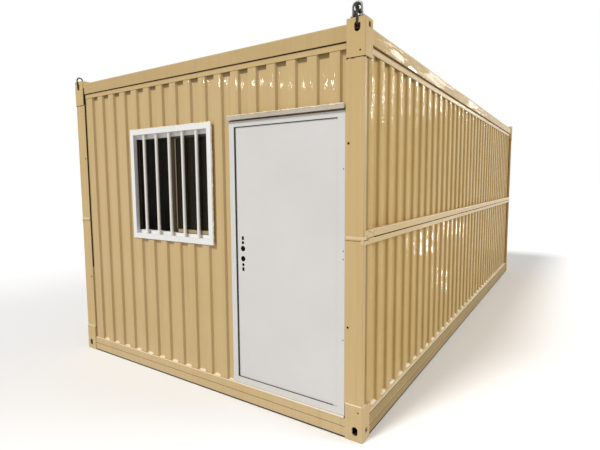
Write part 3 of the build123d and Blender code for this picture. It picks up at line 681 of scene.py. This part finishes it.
# Weld spatter by the front posts, pale lumps as painted highlights and near-black lumps as
# painted shade. Each row: name, count, first y, pitch, how far up it strays, reach across and
# along, least and most reach upwards, finish.
rail_weld_z = 1264.0
weld_rows = (
    ("mid_rail_weld_highlight", 14, 46, 9, 38, (4.3, 8), (6, 10), pale_highlight_paint),
    ("mid_rail_slag_shade", 9, 52, 13, 34, (4.4, 4.5), (3, 6), weld_shade),
)
random.seed(7)
for name, lumps, first_y, pitch, stray, reach, upwards, finish in weld_rows:
    work = bmesh.new()
    for x in (2895, 5):
        for count in range(lumps):
            middle = at(x, first_y + count * pitch, rail_weld_z + random.uniform(0, stray))
            blob(work, middle, (*reach, random.uniform(*upwards)))
    finish_piece(work, name, [finish], crease=60.0)
edge_front, edge_rear = 70.0, cabin_length - 70.0
slot_runs = ((150, 1370), (1400, 2280), (2310, 3420), (3450, 4300), (4330, 5860))
# Pale beads along the mid rails' edges are painted highlights.
work = bmesh.new()
for x0, x1 in both_sides(1.2, 9):
    slab(work, at(x0, edge_front, 1289), at(x1, edge_rear, 1301.8), 0.0040, 3)
for x0, x1 in both_sides(1.8, 9):
    slab(work, at(x0, edge_front, 1243.2), at(x1, edge_rear, 1247.2), 0.0012, 2)
finish_piece(work, "mid_rail_edge_highlights", [pale_highlight_paint])
# A near-black strip in the slot is painted shade.
work = bmesh.new()
for x0, x1 in both_sides(1.4, 9):
    for start, end in slot_runs:
        slab(work, at(x0, start, 1247.6), at(x1, end, 1254.6), 0.0006, 1)
finish_piece(work, "mid_rail_slot_shade", [hole_shade])


# ---- End walls and wall seals ----
# The end walls are ribbed sheet of the same kind between the posts, cut round the door and the
# window. Near-black strips paint the shade in the joints beside the front left post and under the
# front roof rail, brown strips paint the shade at the tops of the ribs on all four walls, and a
# paler strip along the top of the long ones is a painted highlight.
end_paint = painted(
    "end_paint", tan, tan_deep, road_dust, rust,
    wear=0.10, gloss=0.005, wave=0.0006, waves=(6.0, 6.0, 6.0), dirt=0.30)
for source in ("front_wall_left", "front_wall_over_door", "front_wall_over_window", "front_wall_pier",
               "front_wall_under_window", "rear_wall"):
    rolled(source + "_sheet", source, (0, 0, 1), reach=0.0022, finish=end_paint, segments=3)
# Near-black painted shade for joints and gaps.
black_shade = painted(
    "black_shade_paint", (0.028, 0.026, 0.024, 1), (0.018, 0.017, 0.016, 1),
    (0.16, 0.13, 0.09, 1), (0.05, 0.045, 0.04, 1),
    wear=0.5, gloss=0.60, wave=0.0005, waves=(40.0, 40.0, 40.0), dirt=0.2)
# Near-black strips at the left post edge, by the left top casting and under the front roof rail are
# painted shade.
work = bmesh.new()
slab(work, at(127.2, 7, 800), at(129.4, 17.5, 2373), 0.0006)
slab(work, at(121, 1, 2290), at(131, 8, 2436), 0.002)
slab(work, at(121, 12, 2377.5), at(2779, 24, 2384), 0.001, 1)
finish_piece(work, "end_joint_shade", [black_shade])
# A brown strip at the top of each rib's hollow, under the top angle, is painted shade.
work = bmesh.new()
for x in end_valleys:
    for y0, y1 in both_ends(34.5, 38.4):
        slab(work, at(x - 37, y0, 2321), at(x + 37, y1, 2342.5), 0.0006, 1)
for y in side_valleys:
    for x0, x1 in both_sides(47.5, 50.4):
        slab(work, at(x0, y - 36, 2313), at(x1, y + 36, 2328.5), 0.0006, 1)
finish_piece(work, "rib_top_shade", [base_side_shade_paint])
# A pale strip over the long walls' top angles is a painted highlight.
work = bmesh.new()
for x0, x1 in both_sides(25.8, 28):
    slab(work, at(x0, rail_front, 2329), at(x1, rail_rear, 2366), 0.0012, 2)
finish_piece(work, "side_angle_highlights", [pale_highlight_paint])


# ---- Roof frame and roof sheet ----
# Rolled steel rails close the roof, and a folded steel sheet with cross ribs is let in between
# them. Its edges are held by plated hexagon screws and sealed with a bead of mastic.
bolt_steel = painted(
    "bolt_steel", (0.30, 0.27, 0.21, 1), (0.16, 0.12, 0.08, 1), road_dust, rust,
    wear=0.6, gloss=0.42, wave=0.0006, waves=(50.0, 50.0, 50.0))
bolt_steel.node_tree.nodes["Principled BSDF"].inputs["Metallic"].default_value = 0.7
roof_rail_paint = painted(
    "roof_rail_paint", tan, tan_deep, road_dust, rust,
    wear=0.35, gloss=0.06, wave=0.0120, waves=(3.0, 1.5, 8.0), dirt=0.15, level=0.030)
coat(roof_rail_paint, "roof_left_rail", "roof_right_rail")
roof_end_paint = painted(
    "roof_end_paint", (0.555, 0.402, 0.198, 1), (0.525, 0.372, 0.172, 1), road_dust, rust,
    wear=0.35, gloss=0.20, wave=0.0040, waves=(1.4, 3.0, 8.0), dirt=0.2, level=0.06)
coat(roof_end_paint, "roof_front_rail", "roof_rear_rail")
work = bmesh.new()
for x0, x1 in both_sides(8, 20):
    slab(work, at(x0, rail_front, 2371.5), at(x1, rail_rear, 2383), 0.0012, 1)
finish_piece(work, "roof_side_rail_lips", [roof_rail_paint])
roof_paint = painted(
    "roof_paint", tan, tan_deep, (0.52, 0.44, 0.32, 1), rust,
    wear=0.20, gloss=0.40, wave=0.0030, waves=(5.0, 5.0, 5.0), dirt=0.5)
rolled("roof_sheet_rolled", "roof_sheet", (1, 0, 0), finish=roof_paint)
weld("roof_sealant", (
    (at(69, 70, 2470), at(69, 5930, 2470)), (at(2831, 70, 2470), at(2831, 5930, 2470)),
    (at(70, 67, 2466), at(2830, 67, 2466)), (at(70, 5933, 2466), at(2830, 5933, 2466)),
), 0.0070, mastic_and_highlight, rough=0.5)
roof_screw_ys = [209.4 + count * 206.7 for count in range(28)]
heads("roof_screws", [at(x, y, 2469) for x in (92, 2808) for y in roof_screw_ys], (0, 0, 1),
      0.0070, 0.0035, [bolt_steel], sides=6)


# ---- Floor, linings and ceiling ----
# Inside, white faced boards line the walls and ceiling, and sealed brown boards cover the floor.
# The boards are about 1.2 m wide, butt at narrow dark joints and have a faint grain.
joint_colour = (0.05, 0.045, 0.04, 1)
joint_core = 0.0012
joint_edge = 0.0026
smudge_depth = 0.22
board_gloss_range = 0.08
board_relief = 0.0006


def boards(name, paint, deep, half_width, axis, rough, grain):
    """Boards in two tones, counted along an axis, with narrow dark joints and a grain.

    half_width is half a board in metres, rough the mean roughness, grain the scale of the grain.
    """
    material = bpy.data.materials.new(name)
    material.use_nodes = True
    tree = material.node_tree
    skin = tree.nodes["Principled BSDF"]
    marks = put(tree, "Group", node_tree=weather).outputs
    place = put(tree, "TexCoord").outputs["Object"]
    along = put(tree, "SeparateXYZ", {0: place}).outputs[axis]
    fold = put(tree, "Math", {0: along, 1: half_width}, operation="PINGPONG")
    joint = put(tree, "MapRange", {0: fold.outputs[0], 1: joint_core, 2: joint_edge, 3: 1.0, 4: 0.0})
    stretched = put(tree, "Mapping", {"Vector": place, "Scale": grain})
    grains = put(tree, "TexNoise", {
        "Vector": stretched.outputs[0], "Scale": 1.0, "Detail": 8.0, "Roughness": 0.65})
    tone = put(tree, "MapRange", {0: grains.outputs[0], 1: 0.3, 2: 0.7})
    colour = put(tree, "Mix", {0: tone.outputs[0], 6: deep, 7: paint}, data_type="RGBA")
    smudge = put(tree, "Math", {0: marks["Patch"], 1: smudge_depth}, operation="MULTIPLY")
    used = put(tree, "Mix", {0: smudge.outputs[0], 6: colour.outputs[2], 7: deep}, data_type="RGBA")
    lined = put(tree, "Mix", {0: joint.outputs[0], 6: used.outputs[2], 7: joint_colour}, data_type="RGBA")
    tree.links.new(lined.outputs[2], skin.inputs["Base Color"])
    gloss = put(tree, "MapRange", {
        0: grains.outputs[0], 3: rough - board_gloss_range, 4: rough + board_gloss_range})
    tree.links.new(gloss.outputs[0], skin.inputs["Roughness"])
    skin.inputs["Specular IOR Level"].default_value = 0.3
    raised = put(tree, "Math", {0: grains.outputs[0], 1: joint.outputs[0]}, operation="SUBTRACT")
    bump = put(tree, "Bump", {"Height": raised.outputs[0], "Distance": board_relief, "Strength": 0.6})
    tree.links.new(bump.outputs[0], skin.inputs["Normal"])
    return material


# Each set of boards: name, its two tones, half width, axis, roughness, grain, node of the frame.
wall_board = (0.62, 0.60, 0.56, 1)
wall_board_deep = (0.53, 0.50, 0.45, 1)
board_sets = (
    ("side_lining_board", wall_board, wall_board_deep, 0.575, "Y", 0.5, (3, 3, 3), "side_linings"),
    ("end_lining_board", wall_board, wall_board_deep, 0.575, "X", 0.5, (3, 3, 3), "end_linings"),
    ("ceiling_board", (0.74, 0.73, 0.70, 1), (0.66, 0.64, 0.60, 1), 0.60, "Y", 0.5, (3, 3, 3),
     "ceiling_panel"),
    ("floor_board", (0.30, 0.21, 0.13, 1), (0.17, 0.11, 0.065, 1), 0.61, "Y", 0.45, (3, 45, 45),
     "floor_panel"),
)
for name, paint, deep, half_width, axis, rough, grain, node in board_sets:
    coat(boards(name, paint, deep, half_width, axis, rough, grain), node)


# ---- Door ----
# A pressed steel door in a lipped steel frame under a folded rain hood, all in white paint. The
# leaf is drilled for a mortice lock, a handle and its screws, but has no furniture on it, and
# the holes, their rims and the lock slots are near-black as painted shade.
white = (0.690, 0.672, 0.648, 1)
white_deep = (0.650, 0.630, 0.600, 1)
white_dust = (0.62, 0.57, 0.49, 1)
white_chip = (0.30, 0.26, 0.22, 1)
door_paint = painted(
    "door_paint", white, white_deep, white_dust, white_chip,
    wear=0.35, gloss=0.36, wave=0.0016, waves=(2.5, 2.5, 1.2), dirt=0.02, low_dust=0.25, level=0.3)
hood_paint = painted(
    "hood_paint", (0.54, 0.49, 0.41, 1), (0.46, 0.41, 0.33, 1), white_dust, rust,
    wear=0.4, gloss=0.40, wave=0.0012, waves=(6.0, 6.0, 6.0), dirt=0.3, low_dust=0.0, level=0.3)
coat(door_paint, "door_frame", "door_leaf")
coat(hood_paint, "door_hood")
hinge_steel = painted(
    "hinge_steel", (0.50, 0.49, 0.46, 1), (0.36, 0.35, 0.32, 1), road_dust, rust,
    wear=0.5, gloss=0.32, wave=0.0004, waves=(60, 60, 60))
hinge_steel.node_tree.nodes["Principled BSDF"].inputs["Metallic"].default_value = 0.9
coat(hinge_steel, "door_hinge_knuckles", "door_hinge_pins")
# A near-black strip round the leaf's edges is painted shade.
work = bmesh.new()
slab(work, at(1905, 11, 176), at(1921, 12.6, 1968), 0.0006, 1)
slab(work, at(1921, 11, 1958), at(2727, 12.6, 1968), 0.0006, 1)
slab(work, at(1921, 11, 176), at(2690, 12.6, 187), 0.0006, 1)
finish_piece(work, "door_seal_shade", [black_shade])
# A brown strip under the hood is painted shade.
work = bmesh.new()
slab(work, at(1868, 5.5, 1998.5), at(2771, 8.6, 2006.5), 0.0008, 1)
finish_piece(work, "hood_shadow_strip", [shade_line], slot="white_paint")
weld("hood_sealant", (
    (at(1864, -4, 2036.5), at(2772, -4, 2036.5)), (at(1864, 15, 2039), at(2772, 15, 2039)),
), 0.0038, mastic_and_highlight, rough=1.2)
heads("jamb_screws", [at(2761, 8, z) for z in (1170, 1120, 620, 1660)], (0, -1, 0), 0.0045, 0.0012,
      [bolt_steel])
lock_x = 1969.0
lock_z = 1085.0
leaf_face_y = 16.0
lock_back_y = 24.0
slot_offset = 110.0
slot_patch_x = 10
slot_patch_z = 13.5
# Each pair of round holes: name of its rims, offset up and down and radius of the hole in
# millimetres, and radius in metres and sides of its rim, near-black as painted shade.
lock_holes = (
    ("lock_hole_shade_rims", 36, 12.9, 0.0205, 8),
    ("screw_hole_shade_rims", 78, 5.9, 0.0112, 12),
)
work = bmesh.new()
for name, offset, radius, rim_radius, rim_sides in lock_holes:
    for z in (lock_z - offset, lock_z + offset):
        rod(work, at(lock_x, leaf_face_y + 0.5, z), at(lock_x, lock_back_y, z), radius / 1000, sides=20)
for z in (lock_z - slot_offset, lock_z + slot_offset):
    slab(work, at(lock_x - slot_patch_x, leaf_face_y - 0.6, z - slot_patch_z),
         at(lock_x + slot_patch_x, lock_back_y, z + slot_patch_z), 0.0015, 2)
finish_piece(work, "lock_hole_shade", [hole_shade], body="door", slot="hinge_steel")
for name, offset, radius, rim_radius, rim_sides in lock_holes:
    spots = [at(lock_x, leaf_face_y, z) for z in (lock_z - offset, lock_z + offset)]
    heads(name, spots, (0, -1, 0), rim_radius, 0.0005, [hole_shade, hole_shade],
          sides=rim_sides, hollow=True, body="door", slot="hinge_steel")


# ---- Window ----
# A deep white steel box holds a pair of bronze aluminium sashes in a white track. The inner sash
# is slid open behind the outer one, and five upright white bars are welded in before them.
window_paint = painted(
    "window_paint", (0.850, 0.835, 0.812, 1), (0.80, 0.785, 0.76, 1), white_dust, white_chip,
    wear=0.25, gloss=0.34, wave=0.0008, waves=(6.0, 6.0, 6.0), dirt=0.12, low_dust=0.1, level=0.3)
coat(window_paint, "window_frame", "window_tracks")
bronze = painted(
    "bronze_anodised", (0.060, 0.042, 0.022, 1), (0.040, 0.027, 0.014, 1),
    (0.30, 0.25, 0.18, 1), (0.5, 0.45, 0.38, 1),
    wear=0.25, gloss=0.30, wave=0.0003, waves=(12.0, 12.0, 40.0), dirt=0.2, low_dust=0.0, level=0.15)
coat(bronze, "window_sashes")
# A darker copy of the bronze, as painted shade on the jamb channels.
bronze_shaded = painted(
    "bronze_shaded", (0.045, 0.032, 0.020, 1), (0.025, 0.018, 0.010, 1),
    (0.20, 0.16, 0.11, 1), (0.3, 0.25, 0.2, 1),
    wear=0.2, gloss=0.40, wave=0.0003, waves=(12.0, 12.0, 40.0), dirt=0.2, low_dust=0.0, level=0.3)
# A lighter copy of the bronze, as painted highlight on the beads.
bronze_highlight = painted(
    "bronze_highlight", (0.40, 0.30, 0.17, 1), (0.32, 0.23, 0.12, 1),
    (0.40, 0.34, 0.25, 1), (0.5, 0.45, 0.38, 1),
    wear=0.2, gloss=0.35, wave=0.0003, waves=(12.0, 12.0, 40.0), dirt=0.2, low_dust=0.0, level=0.4)
work = bmesh.new()
slab(work, at(802.5, 42, 1188), at(805.5, 81, 1942), 0.0008, 1)
slab(work, at(1644.5, 42, 1188), at(1641.8, 49, 1942), 0.0008, 1)
slab(work, at(805, 62, 1188), at(811, 64.5, 1942), 0.0008, 1)
finish_piece(work, "window_jamb_shade", [bronze_shaded], slot="bronze_aluminium")
work = bmesh.new()
slab(work, at(1262, 48.9, 1223), at(1268, 50.4, 1925), 0.0006, 1)
slab(work, at(1273, 48.9, 1192), at(1643, 50.4, 1219), 0.0006, 1)
finish_piece(work, "window_bead_highlights", [bronze_highlight], slot="bronze_aluminium")

# Float glass with a faint film of dust, over a dark room.
glass = bpy.data.materials.new("window_glass")
glass.use_nodes = True
glass_tree = glass.node_tree
pane = glass_tree.nodes["Principled BSDF"]
glass_place = put(glass_tree, "TexCoord").outputs["Object"]
film = put(glass_tree, "TexNoise", {"Vector": glass_place, "Scale": 6.0, "Detail": 6.0, "Roughness": 0.6})
film_tone = put(glass_tree, "Mix", {
    0: film.outputs[0], 6: (0.010, 0.008, 0.005, 1), 7: (0.022, 0.017, 0.010, 1)}, data_type="RGBA")
glass_tree.links.new(film_tone.outputs[2], pane.inputs["Base Color"])
film_rough = put(glass_tree, "MapRange", {0: film.outputs[0], 3: 0.03, 4: 0.14})
glass_tree.links.new(film_rough.outputs[0], pane.inputs["Roughness"])
pane.inputs["Alpha"].default_value = 0.86
pane.inputs["IOR"].default_value = 1.45
pane.inputs["Specular IOR Level"].default_value = 0.06
coat(glass, "window_glass")

weld("window_sealant", (
    (at(761, 17, 2018), at(1686, 17, 2018)), (at(759.5, 17, 1122), at(759.5, 17, 2016)),
    (at(1687.5, 17, 1122), at(1687.5, 17, 2016))), 0.0042, mastic_and_highlight, rough=1.1)
bar_paint = painted(
    "bar_paint", (0.88, 0.84, 0.76, 1), (0.83, 0.78, 0.69, 1), white_dust, white_chip,
    wear=0.3, gloss=0.36, wave=0.0006, waves=(30.0, 30.0, 8.0), dirt=0.2, low_dust=0.1, level=0.3)
bar_radius = 0.0125
bar_weld = 0.0022
bar_weld_rise = 4.5
bar_count = 5
bar_middle = 1222.5
bar_pitch = 151.0
bar_y = 28.0
clear_low = 1164.0
clear_high = 1974.0
for count in range(bar_count):
    x = bar_middle + (count - (bar_count - 1) / 2) * bar_pitch
    work = bmesh.new()
    rod(work, at(x, bar_y, clear_low), at(x, bar_y, clear_high), bar_radius, sides=20, rings=6)
    for z, way in ((clear_low, 1), (clear_high, -1)):
        rod(work, at(x, bar_y, z), at(x, bar_y, z + bar_weld_rise * way), bar_radius + bar_weld,
            sides=20, rings=3, rough=0.10)
    finish_piece(work, f"window_bar_{count + 1}", [bar_paint], slot="white_paint")


# ---- Lifting tackle ----
# A link of round bar passes through each front top casting, and the right one carries a galvanised
# bow shackle with a few small rings of chain and a cross pin. The links are coloured near-black.
shackle_steel = painted(
    "galvanised_steel", (0.52, 0.52, 0.50, 1), (0.22, 0.21, 0.19, 1), road_dust, rust,
    wear=0.6, gloss=0.38, wave=0.0010, waves=(30, 30, 30))
shackle_steel.node_tree.nodes["Principled BSDF"].inputs["Metallic"].default_value = 0.75
link_steel = painted(
    "dark_link_steel", (0.085, 0.075, 0.055, 1), (0.04, 0.035, 0.028, 1), road_dust, rust,
    wear=0.6, gloss=0.45, wave=0.0008, waves=(40, 40, 40))
link_steel.node_tree.nodes["Principled BSDF"].inputs["Metallic"].default_value = 0.4
coat(shackle_steel, "lifting_shackle")
coat(link_steel, "lifting_links")


def ring(work, middle, across, thick, turn, stretch=1.0):
    """Round bar bent to a closed ring or link, a circle spun round the ring's middle and stretched."""
    bar_sides, ring_steps = 10, 24
    stood_up = Matrix.Translation((across, 0, 0)) @ Matrix.Rotation(math.pi / 2, 4, "X")
    circle = bmesh.ops.create_circle(work, segments=bar_sides, radius=thick, matrix=stood_up)
    bmesh.ops.spin(
        work, geom=circle["verts"] + joined(circle["verts"], "link_edges"),
        axis=(0, 0, 1), cent=(0, 0, 0), angle=2 * math.pi, steps=ring_steps, use_merge=True)
    fresh = [vert for vert in work.verts if not vert.tag]
    place = Matrix.Translation(middle) @ turn @ Matrix.Diagonal((1, stretch, 1, 1))
    bmesh.ops.transform(work, verts=fresh, matrix=place)
    for vert in fresh:
        vert.tag = True


# Each ring: middle, radius, thickness, turn about the upright, lean, stretch.
chain_rings = (
    ((2850, 18, 2557), 0.0165, 0.0062, 0.5, 1.35, 1.25),
    ((2829, 12, 2526), 0.0120, 0.0060, -0.7, 1.1, 1.35),
    ((2836, 14, 2566), 0.0110, 0.0058, 1.2, 0.7, 1.3),
    ((2842, 24, 2546), 0.0110, 0.0060, 2.2, 1.0, 1.4),
)
work = bmesh.new()
for middle, across, thick, turned_by, lean, stretch in chain_rings:
    turn = Matrix.Rotation(turned_by, 4, "Z") @ Matrix.Rotation(lean, 4, "X")
    ring(work, at(*middle), across, thick, turn, stretch)
rod(work, at(2817, 20, 2541), at(2862, 20, 2527), 0.0062, sides=12, rings=6, rough=0.05)
rod(work, at(2860, 20, 2527.5), at(2871, 20, 2524), 0.0100, sides=6, rings=1)
finish_piece(work, "shackle_chain", [link_steel], slot="galvanised_steel", crease=40.0)
